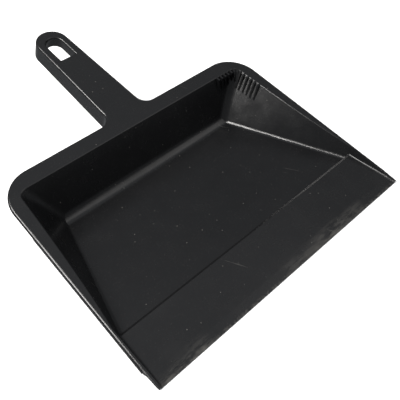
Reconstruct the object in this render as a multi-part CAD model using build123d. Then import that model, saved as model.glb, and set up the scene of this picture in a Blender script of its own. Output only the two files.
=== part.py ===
from build123d import *
from math import cos, radians, sin, sqrt, tan
import os

# A one-hand dust pan: a shallow tub with a sloping rim, a tapered front lip that lies on the
# floor, a comb for brush bristles in one corner, and a channel-shaped handle with a hanging
# hole. All lengths are in millimetres.
# Working frame: X across the pan, Y from the front edge (y = 0) towards the handle, Z up from
# the floor. At the end everything moves so that the origin is under the object's middle.

# ---- overall sizes
FRONT_WIDTH = 305.0          # sweeping edge, corner to corner
PAN_DEPTH = 206.8            # front edge to the back of the rim
OVERALL_LENGTH = 333.6       # front edge to the upper end of the handle
RIM_ANGLE = 14.1             # slope of the rim and of the handle, in degrees
RIM_START = 2.0              # height of the rim's plane over the front edge

# ---- walls
FLOOR = 2.4                  # thickness of the tub's floor
WALL = 2.5                   # thickness of the tub's walls
RIM_THICKNESS = 2.8          # thickness of the rim and of the handle's top
EDGE_ROUND = 2.0             # rounding of the upper outer edges of rim and handle
DRAFT = 4.0                  # the outer edges flare out downwards, in degrees

# ---- inside of the tub
CREST_Y = 50.0               # top of the lip
FLOOR_FRONT_WIDTH = FRONT_WIDTH - 14.1 # floor, across, just behind the lip
MOUTH_FRONT_WIDTH = FRONT_WIDTH - 6.1  # mouth at the rim, across, just behind the lip
FLOOR_BACK_WIDTH = FRONT_WIDTH - 102.4 # floor, across, along the back wall
MOUTH_BACK_WIDTH = FRONT_WIDTH - 39.6  # mouth at the rim, across, along the back wall
FLOOR_BACK_Y = 179.4         # foot of the back wall
BACK_LEAN = 14.0             # the back wall leans away from upright, in degrees
CORNER_RADIUS = 9.5          # upright inside corners
BACK_FILLET = 10.5           # floor to back wall
SIDE_FILLET = 4.2            # floor to side walls
FOOT_CHAMFER = 2.5           # outside, round the foot of the tub
MOUTH_ROUND = 1.0            # inner edge of the rim

# ---- rim
RIM_BACK_HALF = FRONT_WIDTH / 2 - 7.7  # outer half width at the back
RIM_KINK_HALF = FRONT_WIDTH / 2 + 1.1  # outer half width where the rim meets the lip corner
KINK_Y = 17.0                # the rolled edge of the rim stops here
KINK_LENGTH = 4.0            # the step in, from the rolled edge to the lip corner
KINK_STEP = 1.0
RIM_CORNER_RADIUS = 32.0
BEAD_DEPTH = 4.0             # rolled edge under the side rims
BEAD_WIDTH = 2.4
BEAD_END_Y = 150.0

# ---- front lip
LIP_EDGE = 0.8               # thickness of the sweeping edge
BEVEL_Y = 9.0                # end of the steeper bevel along the edge
BEVEL_Z = 2.2
CREST_Z = 6.8                # top of the lip over the ground
LIP_SIDE = 1.5               # side wall left beside the lip at the front corner
LIP_FILLET = 2.2             # lip to side walls
LIP_BED_Y = 16.0             # the tub's floor reaches this far under the lip
CREST_RUN = 2.6              # behind its top the lip falls away over this distance
CREST_DROP = 1.6             # and by this much

# ---- handle
HANDLE_ROOT_HALF = 20.3      # half width where the handle leaves the rim
HANDLE_END_HALF = 16.6       # half width, and end radius, at the far end
FLARE_RADIUS = 11.5          # handle to rim, seen from above
SKIRT_DEPTH = 16.6           # depth of the handle's sides
SKIRT = 2.4                  # thickness of the handle's sides
ROOT_Y = 224.0               # the handle and the pan part here
RIB_COUNT = 3                # cross ribs in the channel under the handle
RIB = 1.8                    # thickness of a cross rib
RIB_DEPTH = 12.0             # depth of a cross rib

# ---- hanging hole
HOLE_START_Y = 293.4         # straight edge, towards the pan
HOLE_END_Y = 322.9           # top of the round end
HOLE_HALF = 8.9
HOLE_ROUND = 1.5
SLEEVE = 1.9                 # wall round the hole
SLEEVE_DEPTH = 11.0

# ---- comb in the corner
TOOTH_COUNT = 13
TOOTH_PITCH = 4.7
TOOTH = 2.0                  # thickness of a tooth
TOOTH_REACH = 4.2            # how far a tooth stands out of the rim's inner edge
TOOTH_DEPTH = 15.0           # how far down the wall a tooth runs
COMB_START_X = MOUTH_BACK_WIDTH / 2 - 28.5  # first tooth, on the back wall

# ---- for cutting blocks and picking edges
TALL = 150.0                 # taller than anything here
WIDE = 400.0                 # wider than anything here
SPARE = 25.0                 # how far a cutting block passes the rim or the lip
TOUCH = 0.1                  # two places this close are one

SLOPE = radians(RIM_ANGLE)
LEAN = radians(BACK_LEAN)
LIP_END_Y = CREST_Y + CREST_RUN


# ---------------------------------------------------------------- places

def rim_height(y):
    """Height of the rim's plane at y."""
    return RIM_START + tan(SLOPE) * y


def along(y):
    """The distance up the slope from the front edge to the place over y."""
    return y / cos(SLOPE)


def mouth_back():
    """Where the back wall's inner face meets the rim's plane."""
    rise = rim_height(FLOOR_BACK_Y) - FLOOR
    return FLOOR_BACK_Y + tan(LEAN) * rise / (1 - tan(LEAN) * tan(SLOPE))


def between(y, start_y, start, end_y, end):
    """The value at y on the straight line from start to end."""
    return start + (end - start) * (y - start_y) / (end_y - start_y)


def floor_half(y):
    """Half width of the tub's floor at y."""
    return between(y, CREST_Y, FLOOR_FRONT_WIDTH / 2, FLOOR_BACK_Y, FLOOR_BACK_WIDTH / 2)


def mouth_half(y):
    """Half width of the tub's mouth, in the rim's plane, at y."""
    return between(y, CREST_Y, MOUTH_FRONT_WIDTH / 2, mouth_back(), MOUTH_BACK_WIDTH / 2)


def side_run(y):
    """How far the side wall leans out for each millimetre of height, at y."""
    return (mouth_half(y) - floor_half(y)) / (rim_height(y) - FLOOR)


def lip_half(y):
    """Half width of the lip at y."""
    end_half = floor_half(LIP_END_Y) + side_run(LIP_END_Y) * (CREST_Z - FLOOR)
    return between(y, 0, FRONT_WIDTH / 2 - LIP_SIDE, LIP_END_Y, end_half)


def rim_half(y):
    """Half width of the rim's outer edge at y, behind the lip corner."""
    return between(y, KINK_Y, RIM_KINK_HALF, PAN_DEPTH, RIM_BACK_HALF)


# ---------------------------------------------------------------- building helpers

def flat(*corners):
    """A face with straight sides."""
    return make_face(Polyline(*corners, close=True))


def profile(*corners):
    """A block across the whole width, from (y, z) corners."""
    return extrude(Plane.YZ * flat(*corners), WIDE, both=True)


def on_rim(sketch, depth=0.0):
    """A sketch laid on the rim's plane, or on one that far beneath it."""
    plane = Plane(origin=(0, 0, RIM_START), x_dir=(1, 0, 0), z_dir=(0, -sin(SLOPE), cos(SLOPE)))
    return plane.offset(-depth) * sketch


def beneath(sketch, depth, start=0.0, taper=0.0):
    """A block that goes down from the rim's plane, between two depths."""
    return extrude(on_rim(sketch, start), start - depth, taper=-taper)


def section(y, *half):
    """An upright face across the pan at y, from the (x, z) corners of its right half."""
    plane = Plane(origin=(0, y, 0), x_dir=(1, 0, 0), z_dir=(0, -1, 0))
    return plane * flat(*half, *[(-x, z) for x, z in reversed(half)])


def before_back_wall(grow):
    """All the space in front of the back wall's inner face, moved back by grow."""
    foot = FLOOR_BACK_Y + grow / cos(LEAN)
    low_y = foot - tan(LEAN) * (FLOOR + TALL)
    high_y = foot + tan(LEAN) * (TALL - FLOOR)
    return profile((-WIDE, -TALL), (low_y, -TALL), (high_y, TALL), (-WIDE, TALL))


# ---------------------------------------------------------------- the room inside the pan

def tub_block():
    """The room in the tub with sharp edges, a little taller than the rim."""
    faces = []
    for y in (LIP_END_Y, PAN_DEPTH):
        top = rim_height(y) + SPARE
        high = floor_half(y) + side_run(y) * (top - FLOOR)
        faces.append(section(y, (floor_half(y), FLOOR), (high, top)))
    return loft(faces, ruled=True) & before_back_wall(0)


def back_cove():
    """The wide fillet between the floor and the back wall."""
    reach = BACK_FILLET * tan(radians(90 - BACK_LEAN) / 2)
    start = (FLOOR_BACK_Y - reach, FLOOR)
    end = (FLOOR_BACK_Y + reach * sin(LEAN), FLOOR + reach * cos(LEAN))
    half_turn = radians(90 + BACK_LEAN) / 2
    middle_y = start[0] + BACK_FILLET * cos(half_turn)
    middle_z = FLOOR + BACK_FILLET - BACK_FILLET * sin(half_turn)
    arc = ThreePointArc(start, (middle_y, middle_z), end)
    behind = FLOOR_BACK_Y + BACK_FILLET
    rest = Polyline(end, (behind, end[1]), (behind, 0), (start[0], 0), start)
    return extrude(Plane.YZ * make_face(arc + rest), WIDE, both=True)


def tub_air():
    """The room inside the tub, behind the lip."""
    room = tub_block()
    upright = room.edges().filter_by(lambda e: e.bounding_box().size.Z > SPARE)
    room = fillet(upright.sort_by(Axis.Y)[-2:], CORNER_RADIUS)
    low = room.edges().filter_by(lambda e: e.bounding_box().max.Z < FLOOR + TOUCH)
    room = fillet(low.filter_by(lambda e: e.bounding_box().max.Y > LIP_END_Y + TOUCH), SIDE_FILLET)
    return room - back_cove()


def lip_air():
    """The room over the lip, between the side walls."""
    front = -SPARE
    run = side_run(LIP_END_Y)
    faces = []
    for y, z in ((front, LIP_EDGE), (LIP_END_Y, CREST_Z)):
        low = (lip_half(y) - run * SPARE, z - SPARE)
        high = (lip_half(y) + run * SPARE, z + SPARE)
        faces.append(section(y, low, high))
    over = profile(
        (front, LIP_EDGE), (0, LIP_EDGE), (BEVEL_Y, BEVEL_Z), (CREST_Y, CREST_Z),
        (LIP_END_Y, CREST_Z - CREST_DROP), (LIP_END_Y, TALL), (front, TALL),
    )
    room = loft(faces, ruled=True) & over
    foot = room.edges().filter_by(
        lambda e: BEVEL_Y < e.center().Y < LIP_END_Y - TOUCH and e.center().Z < CREST_Z + TOUCH
    )
    foot = foot.filter_by(lambda e: abs(e.center().X) > TOUCH)
    return fillet(foot, LIP_FILLET)


# ---------------------------------------------------------------- outlines on the rim's plane

def handle_plan():
    """The handle's outline, rounded at its far end."""
    start = along(PAN_DEPTH) - RIM_CORNER_RADIUS
    rim_end = along(PAN_DEPTH)
    end = along(OVERALL_LENGTH) - HANDLE_END_HALF
    root = HANDLE_ROOT_HALF
    shaft = flat(
        (-root, start), (root, start), (root, rim_end), (HANDLE_END_HALF, end),
        (-HANDLE_END_HALF, end), (-root, rim_end),
    )
    return shaft + Pos(0, end) * Circle(HANDLE_END_HALF)


def rim_plan():
    """The rim's outline with the handle flowing into it."""
    half = [
        (FRONT_WIDTH / 2, 0),
        (RIM_KINK_HALF - KINK_STEP, along(KINK_Y - KINK_LENGTH)),
        (RIM_KINK_HALF, along(KINK_Y)),
        (RIM_BACK_HALF, along(PAN_DEPTH)),
    ]
    rim = flat(*half, *[(-x, v) for x, v in reversed(half)])
    corners = rim.vertices().group_by(Axis.Y)[-1]
    plan = fillet(corners, RIM_CORNER_RADIUS) + handle_plan()
    inner = plan.vertices().filter_by(
        lambda v: abs(v.Y - along(PAN_DEPTH)) < TOUCH and abs(v.X) < HANDLE_ROOT_HALF + TOUCH
    )
    return fillet(inner, FLARE_RADIUS)


def stem_plan():
    """The part of the outline that has deep sides: the handle, its flare and its root."""
    half = HANDLE_ROOT_HALF + FLARE_RADIUS
    start, end = along(FLOOR_BACK_Y), along(OVERALL_LENGTH)
    return rim_plan() & flat((-half, start), (half, start), (half, end), (-half, end))


def hole_plan(grow):
    """The hanging hole: straight towards the pan and round at the far end."""
    half = HOLE_HALF + grow
    center = along(HOLE_END_Y) - HOLE_HALF
    start = along(HOLE_START_Y) - grow
    box = flat((-half, start), (half, start), (half, center), (-half, center))
    return box + Pos(0, center) * Circle(half)


def bead_plan(side):
    """The rolled edge along one side of the rim."""
    corners = []
    for y in (KINK_Y, BEAD_END_Y):
        corners.append((side * rim_half(y), along(y)))
    for y in (BEAD_END_Y, KINK_Y):
        corners.append((side * (rim_half(y) - BEAD_WIDTH), along(y)))
    return flat(*corners)


# ---------------------------------------------------------------- the moulding

def under_rim(depth):
    """All the space more than this far beneath the rim's plane."""
    everywhere = flat((-WIDE, -WIDE), (WIDE, -WIDE), (WIDE, WIDE), (-WIDE, WIDE))
    return beneath(everywhere, TALL, depth)


def beyond(y):
    """All the space further up the slope than the place on the rim's plane over y."""
    start = along(y)
    rest = flat((-WIDE, start), (WIDE, start), (WIDE, start + WIDE), (-WIDE, start + WIDE))
    return beneath(rest, TALL, -TALL)


def top_edges(plate):
    """The edges of the plate's upper face."""
    up = Vector(0, -sin(SLOPE), cos(SLOPE))
    return plate.faces().sort_by(lambda f: f.center().dot(up))[-1].edges()


def rim_plate(air):
    """The rim and the handle's top as one plate, with every upper edge rounded."""
    plate = beneath(rim_plan(), RIM_THICKNESS, taper=DRAFT)
    outer = top_edges(plate).filter_by(lambda e: e.center().Y > KINK_Y + TOUCH)
    plate = fillet(outer, EDGE_ROUND) - beneath(hole_plan(0), TALL, -TALL)
    hole = top_edges(plate).filter_by(lambda e: e.center().Y > HOLE_START_Y - TOUCH)
    hole = hole.filter_by(lambda e: abs(e.center().X) < HOLE_HALF + TOUCH)
    plate = fillet(hole.filter_by(lambda e: e.center().Y < HOLE_END_Y + TOUCH), HOLE_ROUND) - air
    inner = top_edges(plate).filter_by(lambda e: e.distance_to(air) < TOUCH)
    return fillet(inner.filter_by(lambda e: e.center().Y > LIP_END_Y), MOUTH_ROUND)


def deep_sides():
    """The handle's skirts, the channel between them, and the rolled side edges."""
    inside = offset(stem_plan(), -SKIRT, kind=Kind.INTERSECTION)
    sides = beneath(stem_plan(), SKIRT_DEPTH, taper=DRAFT)
    sides -= beneath(inside, SKIRT_DEPTH + TOUCH, taper=DRAFT)
    for side in (-1, 1):
        sides += beneath(bead_plan(side), BEAD_DEPTH, taper=DRAFT)
    return sides & under_rim(EDGE_ROUND + TOUCH)


def tub_shell():
    """The tub with the room in it filled, from the ground to just beneath the rim's top."""
    faces = []
    for y, cut in ((0, LIP_EDGE / 2), (CREST_Y, FOOT_CHAMFER), (PAN_DEPTH, FOOT_CHAMFER)):
        run = side_run(max(y, CREST_Y))
        foot = floor_half(y) + WALL * sqrt(1 + run * run) - run * FLOOR
        if y < CREST_Y:
            foot = FRONT_WIDTH / 2 - run * RIM_START
        top = rim_height(y) + SPARE
        faces.append(section(y, (foot - cut, 0), (foot + run * cut, cut), (foot + run * top, top)))
    block = loft(faces, ruled=True) & before_back_wall(WALL)
    rear = block.edges().filter_by(
        lambda e: e.bounding_box().max.Z < TOUCH and e.bounding_box().min.Y > CREST_Y + TOUCH
    )
    return chamfer(rear.sort_by(Axis.Y)[-1], FOOT_CHAMFER) & under_rim(EDGE_ROUND + TOUCH)


def sleeve():
    """The wall round the hanging hole, beneath the handle's top."""
    wall = beneath(hole_plan(SLEEVE), SLEEVE_DEPTH, EDGE_ROUND + TOUCH)
    return wall - beneath(hole_plan(0), TALL, -TALL)


def channel_ribs():
    """Cross ribs in the channel under the handle."""
    inside = offset(stem_plan(), TOUCH - SKIRT, kind=Kind.INTERSECTION)
    ribs = []
    for number in range(RIB_COUNT):
        y = between(number + 1, 0, ROOT_Y, RIB_COUNT + 1, HOLE_START_Y)
        bar = Pos(0, along(y)) * Rectangle(WIDE, RIB)
        ribs.append(beneath(inside & bar, RIB_DEPTH, EDGE_ROUND + TOUCH))
    return ribs


def comb_path():
    """The mouth's inner edge that carries the teeth, seen from above, from back to side."""
    back = mouth_back()
    corner = (mouth_half(back), back)
    reach = TOOTH_COUNT * TOOTH_PITCH
    side_end = (mouth_half(back - reach), back - reach)
    return FilletPolyline((COMB_START_X, back), corner, side_end, radius=CORNER_RADIUS)


def comb():
    """Teeth round the corner of the mouth, flush with the rim and tapering down the wall."""
    path = comb_path()
    teeth = []
    for number in range(TOOTH_COUNT):
        place = path.position_at(number * TOOTH_PITCH / path.length)
        way = path.tangent_at(number * TOOTH_PITCH / path.length)
        inward = Vector(way.Y, -way.X)
        run = abs(inward.X) * side_run(place.Y) + abs(inward.Y) * tan(LEAN)
        top = rim_height(place.Y)
        plane = Plane(origin=(place.X, place.Y, top), x_dir=inward, z_dir=-way)
        foot = TOOTH_DEPTH * run
        outline = plane * flat(
            (-WALL / 2, 0), (-WALL / 2, SPARE), (TOOTH_REACH, SPARE), (TOOTH_REACH, 0),
            (foot, -TOOTH_DEPTH), (foot - WALL / 2, -TOOTH_DEPTH),
        )
        teeth.append(extrude(outline, TOOTH / 2, both=True) & under_rim(0))
    return teeth


def front_lip(air):
    """The tapered strip that lies on the ground and on the front of the tub's floor."""
    strip = profile(
        (0, 0), (0, SPARE), (LIP_END_Y, SPARE), (LIP_END_Y, FLOOR), (LIP_BED_Y, FLOOR),
        (LIP_BED_Y, 0),
    )
    front, end = lip_half(0), lip_half(LIP_END_Y)
    plan = flat((-front, 0), (front, 0), (end, LIP_END_Y), (-end, LIP_END_Y))
    return (strip & extrude(plan, SPARE)) - air


def moulding(air, lip):
    """The pan and the handle in one, around the room in the pan and the lip."""
    solid = tub_shell() + deep_sides() + sleeve() + channel_ribs() - air
    solid = solid + rim_plate(air) + comb()
    above_ground = profile((-WIDE, 0), (WIDE * 2, 0), (WIDE * 2, TALL), (-WIDE, TALL))
    return (solid & above_ground) - lip


def main():
    """Build every sub-part, put the origin under the middle, and write the files."""
    air = tub_air() + lip_air()
    lip = front_lip(air)
    whole = moulding(air, lip)
    parts = {
        "pan": whole - beyond(ROOT_Y),
        "handle": whole & beyond(ROOT_Y),
        "front_lip": lip,
    }
    box = Compound([shape for shape in parts.values()]).bounding_box()
    os.makedirs("parts", exist_ok=True)
    for name, shape in parts.items():
        export_step(Pos(0, -box.center().Y, -box.min.Z) * shape, f"parts/{name}.step")


main()
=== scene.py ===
"""Looks for the dust pan: moulded black plastic, a pale studio floor, and soft light."""

import math

import bpy
from mathutils import Matrix, Vector


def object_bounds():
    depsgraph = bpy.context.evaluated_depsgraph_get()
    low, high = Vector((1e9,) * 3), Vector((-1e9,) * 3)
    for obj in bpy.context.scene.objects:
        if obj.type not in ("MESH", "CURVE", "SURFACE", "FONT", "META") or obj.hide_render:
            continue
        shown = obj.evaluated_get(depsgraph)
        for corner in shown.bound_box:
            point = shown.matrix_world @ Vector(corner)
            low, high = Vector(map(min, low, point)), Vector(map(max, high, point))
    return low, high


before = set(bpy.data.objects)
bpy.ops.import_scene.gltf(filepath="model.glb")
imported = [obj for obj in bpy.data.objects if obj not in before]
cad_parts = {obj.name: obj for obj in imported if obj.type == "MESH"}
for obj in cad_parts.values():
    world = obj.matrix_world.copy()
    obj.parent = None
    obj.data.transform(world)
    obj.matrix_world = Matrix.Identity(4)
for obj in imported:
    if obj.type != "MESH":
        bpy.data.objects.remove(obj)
cad_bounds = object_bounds()

MM = 0.001

# ---- viewpoint, about the part's own frame, with angles in degrees
VIEW_AZIMUTH = -45.19
VIEW_ELEVATION = 44.77
VIEW_ROLL = 0.05
VIEW_DISTANCE = 550.8 * MM
VIEW_LENS = 56.3              # focal length, in the sensor's own units
SENSOR_WIDTH = 36.0
VIEW_CLIP_START = 10 * MM
VIEW_TARGET = Vector((-10.85, -68.6, 20.0)) * MM

# ---- plastic: near-black, and a little lighter on the lip
BODY_DARK = (0.0048, 0.0050, 0.0055)
BODY_LIGHT = (0.0062, 0.0063, 0.0068)
LIP_DARK = (0.0054, 0.0055, 0.0060)
LIP_LIGHT = (0.0068, 0.0069, 0.0074)
# colour of dust, hairlines and scuffs, and of the painted highlight band along the lip's front edge
MARK_AND_SHEEN_COLOUR = (0.11, 0.105, 0.095)
BODY_ROUGHNESS = 0.24
LIP_ROUGHNESS = 0.26
ROUGHNESS_SPREAD = 0.05       # how far the roughness strays either way
MARK_ROUGHNESS = 0.25         # how much rougher a mark is than the plastic
SPECULAR_LEVEL = 0.5
GRAIN_STRENGTH = 0.4
GRAIN_DEPTH = 0.09 * MM
PIT_SHARE = 0.7               # height of the pits against the fine grain
CRISP_ANGLE = 28              # edges sharper than this, in degrees, stay crisp

# ---- wear behind the sweeping edge, and a painted highlight in a band along it, measured back from the edge
RUB_FULL = 2 * MM
RUB_END = 13 * MM
EDGE_FULL = 0.4 * MM
EDGE_END = 3 * MM
# strength of the lighter band along the edge: partly edge wear, partly a painted highlight for light on
# the front bevel
EDGE_WEAR_AND_SHEEN = 0.5

# ---- how far each unit of seed moves a layer, so that no two layers line up
NOISE_STEPS = (1.0, 0.7, 1.3)
SPECK_STEPS = (1.0, 1.7, 0.3)

# ---- studio floor, just under the part
FLOOR_HALF = 6.0
FLOOR_DROP = 0.2 * MM
FLOOR_DARK = (0.86, 0.86, 0.86)
FLOOR_LIGHT = (0.90, 0.90, 0.90)
FLOOR_ROUGHNESS = 0.8
FLOOR_SPECULAR = 0.1
FLOOR_GLOW = 0.3

# ---- soft boxes: places and sizes in metres, power in watts
LIGHT_AIM = (0, 0, 0)
LIGHT_COLOUR = (1.0, 0.975, 0.95)
SOFT_BOXES = {
    "key": {"place": (-0.95, 0.24, 1.40), "size": (0.42, 1.05), "power": 29},
    "handle_rim": {"place": (-0.85, 0.66, 1.30), "size": (0.40, 0.40), "power": 16},
    "front_fill": {"place": (0.85, -0.77, 1.28), "size": (1.2, 1.2), "power": 4.2},
}
SURROUND_COLOUR = (0.93, 0.96, 1.0)


def link(tree, source, target):
    """Join an output socket to an input socket."""
    tree.links.new(source, target)


def moved(tree, where, seed, steps, stretch=(1, 1, 1)):
    """The coordinates stretched, then moved away by the seed."""
    mapping = tree.nodes.new("ShaderNodeMapping")
    mapping.inputs["Scale"].default_value = stretch
    mapping.inputs["Location"].default_value = tuple(seed * step for step in steps)
    link(tree, where, mapping.inputs["Vector"])
    return mapping.outputs["Vector"]


def noise(tree, where, scale, detail, rough, seed, stretch=(1, 1, 1)):
    """Noise over the coordinates, from 0 to 1. Scale is in features per metre."""
    made = tree.nodes.new("ShaderNodeTexNoise")
    made.inputs["Scale"].default_value = scale
    made.inputs["Detail"].default_value = detail
    made.inputs["Roughness"].default_value = rough
    link(tree, moved(tree, where, seed, NOISE_STEPS, stretch), made.inputs["Vector"])
    return made.outputs["Fac"]


def ramp(tree, source, low, high, out_low=0.0, out_high=1.0):
    """The source rescaled from low..high to out_low..out_high, and held there."""
    made = tree.nodes.new("ShaderNodeMapRange")
    made.inputs["From Min"].default_value = low
    made.inputs["From Max"].default_value = high
    made.inputs["To Min"].default_value = out_low
    made.inputs["To Max"].default_value = out_high
    link(tree, source, made.inputs["Value"])
    return made.outputs["Result"]


def math_node(tree, operation, a, b):
    """One sum on two sockets or numbers."""
    made = tree.nodes.new("ShaderNodeMath")
    made.operation = operation
    for index, value in enumerate((a, b)):
        if isinstance(value, (int, float)):
            made.inputs[index].default_value = value
        else:
            link(tree, value, made.inputs[index])
    return made.outputs[0]


def product(tree, first, *others):
    """All the values multiplied together."""
    for other in others:
        first = math_node(tree, "MULTIPLY", first, other)
    return first


def strongest(tree, first, *others):
    """The largest of the values."""
    for other in others:
        first = math_node(tree, "MAXIMUM", first, other)
    return first


def mix_colour(tree, factor, a, b):
    """Colour a where the factor is 0, colour b where it is 1."""
    made = tree.nodes.new("ShaderNodeMix")
    made.data_type = "RGBA"
    link(tree, factor, made.inputs[0])
    for index, value in ((6, a), (7, b)):  # the two colour inputs
        if isinstance(value, tuple):
            made.inputs[index].default_value = (*value, 1.0)
        else:
            link(tree, value, made.inputs[index])
    return made.outputs[2]


def specks(tree, where, scale, size, keep, seed):
    """Scattered dust specks, 1 on a speck. Keep is the share of cells that have one."""
    cells = tree.nodes.new("ShaderNodeTexVoronoi")
    cells.inputs["Scale"].default_value = scale
    link(tree, moved(tree, where, seed, SPECK_STEPS), cells.inputs["Vector"])
    near = ramp(tree, cells.outputs["Distance"], low=size / 2, high=size, out_low=1.0, out_high=0.0)
    split = tree.nodes.new("ShaderNodeSeparateColor")
    link(tree, cells.outputs["Color"], split.inputs["Color"])
    chosen = math_node(tree, "LESS_THAN", split.outputs[0], keep)
    return product(tree, near, chosen)


def scratches(tree, where, scale, angle, keep, seed):
    """Fine hairlines along one direction, in patches. Keep is how high noise is before it marks."""
    turn = tree.nodes.new("ShaderNodeVectorRotate")
    turn.rotation_type = "Z_AXIS"
    turn.inputs["Angle"].default_value = math.radians(angle)
    link(tree, where, turn.inputs["Vector"])
    along = turn.outputs["Vector"]
    lines = noise(tree, along, scale, detail=1.0, rough=0.5, seed=seed, stretch=(0.03, 1.0, 0.2))
    thin = ramp(tree, lines, low=keep, high=keep + 0.02)
    patch = noise(tree, where, scale=24.0, detail=2.0, rough=0.6, seed=seed + 4.0)
    return product(tree, thin, ramp(tree, patch, low=0.52, high=0.66))


def moulded_tone(tree, where, fine, dark, light):
    """Soft clouds and a fine mottle between the two tones."""
    cloud = noise(tree, where, scale=14.0, detail=4.0, rough=0.6, seed=1.0)
    colour = mix_colour(tree, ramp(tree, cloud, low=0.3, high=0.7), dark, light)
    mottle = ramp(tree, fine, low=0.35, high=0.75, out_high=0.35)
    return mix_colour(tree, mottle, colour, light)


def handling_marks(tree, where):
    """Dust specks, a thin haze of dust and faint hairlines."""
    dust = specks(tree, where, scale=160.0, size=0.085, keep=0.30, seed=5.0)
    haze = noise(tree, where, scale=1100.0, detail=2.0, rough=0.7, seed=8.0)
    haze = ramp(tree, haze, low=0.66, high=0.74, out_high=0.25)
    hair = scratches(tree, where, scale=420.0, angle=62.0, keep=0.75, seed=11.0)
    hair = ramp(tree, hair, low=0.0, high=1.0, out_high=0.35)
    return strongest(tree, dust, haze, hair)


def front_scuffs_and_sheen(tree, where, fine):
    """Rubbed patches behind the sweeping edge, and a lighter band along the edge itself: partly wear,
    partly a painted highlight standing in for light on the front bevel.
    """
    place = tree.nodes.new("ShaderNodeSeparateXYZ")
    link(tree, where, place.inputs["Vector"])
    front = cad_bounds[0][1]
    depth = place.outputs["Y"]
    band = ramp(tree, depth, front + RUB_FULL, front + RUB_END, out_low=1.0, out_high=0.0)
    rub = noise(tree, where, scale=130.0, detail=5.0, rough=0.75, seed=14.0, stretch=(0.35, 1.6, 1.0))
    patch = noise(tree, where, scale=11.0, detail=1.0, rough=0.5, seed=17.0)
    rub = product(tree, ramp(tree, rub, low=0.42, high=0.66), ramp(tree, patch, low=0.46, high=0.58), band)
    # painted highlight mixed with wear: a lighter band along the front edge, standing in for light on the
    # bevel
    edge = ramp(tree, depth, front + EDGE_FULL, front + EDGE_END, out_low=EDGE_WEAR_AND_SHEEN, out_high=0.0)
    edge = product(tree, edge, ramp(tree, fine, low=0.4, high=0.7))
    return strongest(tree, rub, edge)


def plastic(name, dark, light, rough, scuffed_and_sheened=False):
    """Moulded black plastic: fine cast texture, dull patches, dust, hairlines and scuffs, and where
    scuffed a painted highlight band along the front edge.
    """
    material = bpy.data.materials.new(name)
    material.use_nodes = True
    tree = material.node_tree
    shader = tree.nodes["Principled BSDF"]
    where = tree.nodes.new("ShaderNodeTexCoord").outputs["Object"]
    fine = noise(tree, where, scale=420.0, detail=3.0, rough=0.6, seed=2.0)
    pits = noise(tree, where, scale=1500.0, detail=2.0, rough=0.5, seed=3.0)

    marks_and_sheen = handling_marks(tree, where)
    if scuffed_and_sheened:
        # the scuffs bring the painted highlight band along the front edge with them
        marks_and_sheen = strongest(tree, marks_and_sheen, front_scuffs_and_sheen(tree, where, fine))
    colour = mix_colour(tree, marks_and_sheen, moulded_tone(tree, where, fine, dark, light), MARK_AND_SHEEN_COLOUR)
    link(tree, colour, shader.inputs["Base Color"])

    uneven = noise(tree, where, scale=55.0, detail=3.0, rough=0.6, seed=20.0)
    roughness = ramp(tree, uneven, 0.3, 0.7, rough - ROUGHNESS_SPREAD, rough + ROUGHNESS_SPREAD)
    dullness = ramp(tree, marks_and_sheen, low=0.0, high=1.0, out_high=MARK_ROUGHNESS)
    link(tree, math_node(tree, "ADD", roughness, dullness), shader.inputs["Roughness"])

    bump = tree.nodes.new("ShaderNodeBump")
    bump.inputs["Strength"].default_value = GRAIN_STRENGTH
    bump.inputs["Distance"].default_value = GRAIN_DEPTH
    link(tree, math_node(tree, "ADD", product(tree, pits, PIT_SHARE), fine), bump.inputs["Height"])
    link(tree, bump.outputs["Normal"], shader.inputs["Normal"])
    shader.inputs["Specular IOR Level"].default_value = SPECULAR_LEVEL
    return material


def dress(piece, material):
    """Give a piece its material, with crisp edges and even shading on its flat faces."""
    piece.data.materials.clear()
    piece.data.materials.append(material)
    split = piece.modifiers.new("crisp_edges", "EDGE_SPLIT")
    split.split_angle = math.radians(CRISP_ANGLE)
    even = piece.modifiers.new("even_shading", "WEIGHTED_NORMAL")
    even.keep_sharp = True


def pale_floor():
    """A plain pale sheet under the part, with a faint unevenness."""
    mesh = bpy.data.meshes.new("studio_floor")
    signs = ((-1, -1), (1, -1), (1, 1), (-1, 1))
    corners = [(x * FLOOR_HALF, y * FLOOR_HALF, -FLOOR_DROP) for x, y in signs]
    mesh.from_pydata(corners, [], [(0, 1, 2, 3)])
    sheet = bpy.data.objects.new("studio_floor", mesh)
    bpy.context.scene.collection.objects.link(sheet)
    material = bpy.data.materials.new("pale_floor")
    material.use_nodes = True
    tree = material.node_tree
    shader = tree.nodes["Principled BSDF"]
    where = tree.nodes.new("ShaderNodeTexCoord").outputs["Object"]
    cloud = noise(tree, where, scale=3.0, detail=3.0, rough=0.5, seed=2.0)
    colour = mix_colour(tree, cloud, FLOOR_DARK, FLOOR_LIGHT)
    link(tree, colour, shader.inputs["Base Color"])
    shader.inputs["Roughness"].default_value = FLOOR_ROUGHNESS
    shader.inputs["Specular IOR Level"].default_value = FLOOR_SPECULAR
    shader.inputs["Emission Color"].default_value = (1.0, 1.0, 1.0, 1.0)
    shader.inputs["Emission Strength"].default_value = FLOOR_GLOW
    mesh.materials.append(material)
    sheet.visible_glossy = False


def soft_light(name, place, size, power):
    """A rectangular soft box at a place, turned towards the part."""
    data = bpy.data.lights.new(name, "AREA")
    data.shape = "RECTANGLE"
    data.size, data.size_y = size
    data.energy = power
    data.color = LIGHT_COLOUR
    lamp = bpy.data.objects.new(name, data)
    lamp.location = place
    lamp.rotation_euler = (Vector(LIGHT_AIM) - Vector(place)).to_track_quat("-Z", "Y").to_euler()
    bpy.context.scene.collection.objects.link(lamp)


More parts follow.
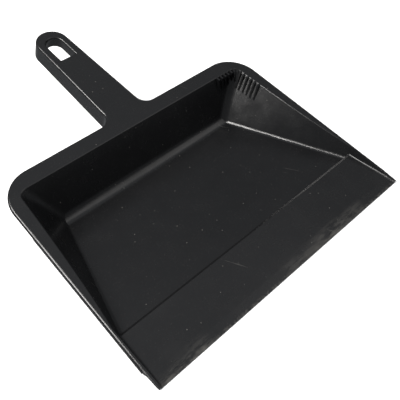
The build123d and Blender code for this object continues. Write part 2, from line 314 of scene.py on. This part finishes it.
def surround():
    """A dim surround, brighter overhead and below, which the camera itself sees as pale."""
    world = bpy.data.worlds.new("surround")
    world.use_nodes = True
    tree = world.node_tree
    background = tree.nodes["Background"]
    background.inputs["Color"].default_value = (*SURROUND_COLOUR, 1.0)
    way = tree.nodes.new("ShaderNodeSeparateXYZ")
    link(tree, tree.nodes.new("ShaderNodeTexCoord").outputs["Generated"], way.inputs["Vector"])
    above = ramp(tree, way.outputs["Z"], low=0.64, high=0.86, out_low=0.13, out_high=0.46)
    below = ramp(tree, way.outputs["Z"], low=-0.6, high=0.1, out_low=0.36, out_high=0.20)
    seen = tree.nodes.new("ShaderNodeLightPath").outputs["Is Camera Ray"]
    link(tree, strongest(tree, above, below, seen), background.inputs["Strength"])
    bpy.context.scene.world = world


def viewpoint():
    """The camera, looking down across the pan from its front left."""
    data = bpy.data.cameras.new("camera")
    data.sensor_width = SENSOR_WIDTH
    data.lens = VIEW_LENS
    data.clip_start = VIEW_CLIP_START
    camera = bpy.data.objects.new("camera", data)
    azimuth, elevation = math.radians(VIEW_AZIMUTH), math.radians(VIEW_ELEVATION)
    back = Vector((
        math.sin(azimuth) * math.cos(elevation),
        -math.cos(azimuth) * math.cos(elevation),
        math.sin(elevation),
    ))
    camera.location = VIEW_TARGET + back * VIEW_DISTANCE
    turn = back.to_track_quat("Z", "Y").to_matrix()
    roll = Matrix.Rotation(math.radians(VIEW_ROLL), 3, "Z")
    camera.rotation_euler = (turn @ roll).to_euler()
    bpy.context.scene.collection.objects.link(camera)
    bpy.context.scene.camera = camera


body = plastic("body_plastic", BODY_DARK, BODY_LIGHT, BODY_ROUGHNESS)
# the lip's marks include a painted highlight band along its front edge, as well as real scuffs
lip = plastic("lip_plastic", LIP_DARK, LIP_LIGHT, LIP_ROUGHNESS, scuffed_and_sheened=True)
for name, material in (("pan", body), ("handle", body), ("front_lip", lip)):
    dress(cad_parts[name], material)

pale_floor()
for name, box in SOFT_BOXES.items():
    soft_light(name, **box)
surround()
viewpoint()
bpy.context.scene.view_settings.view_transform = "Standard"
bpy.context.scene.view_settings.look = "None"
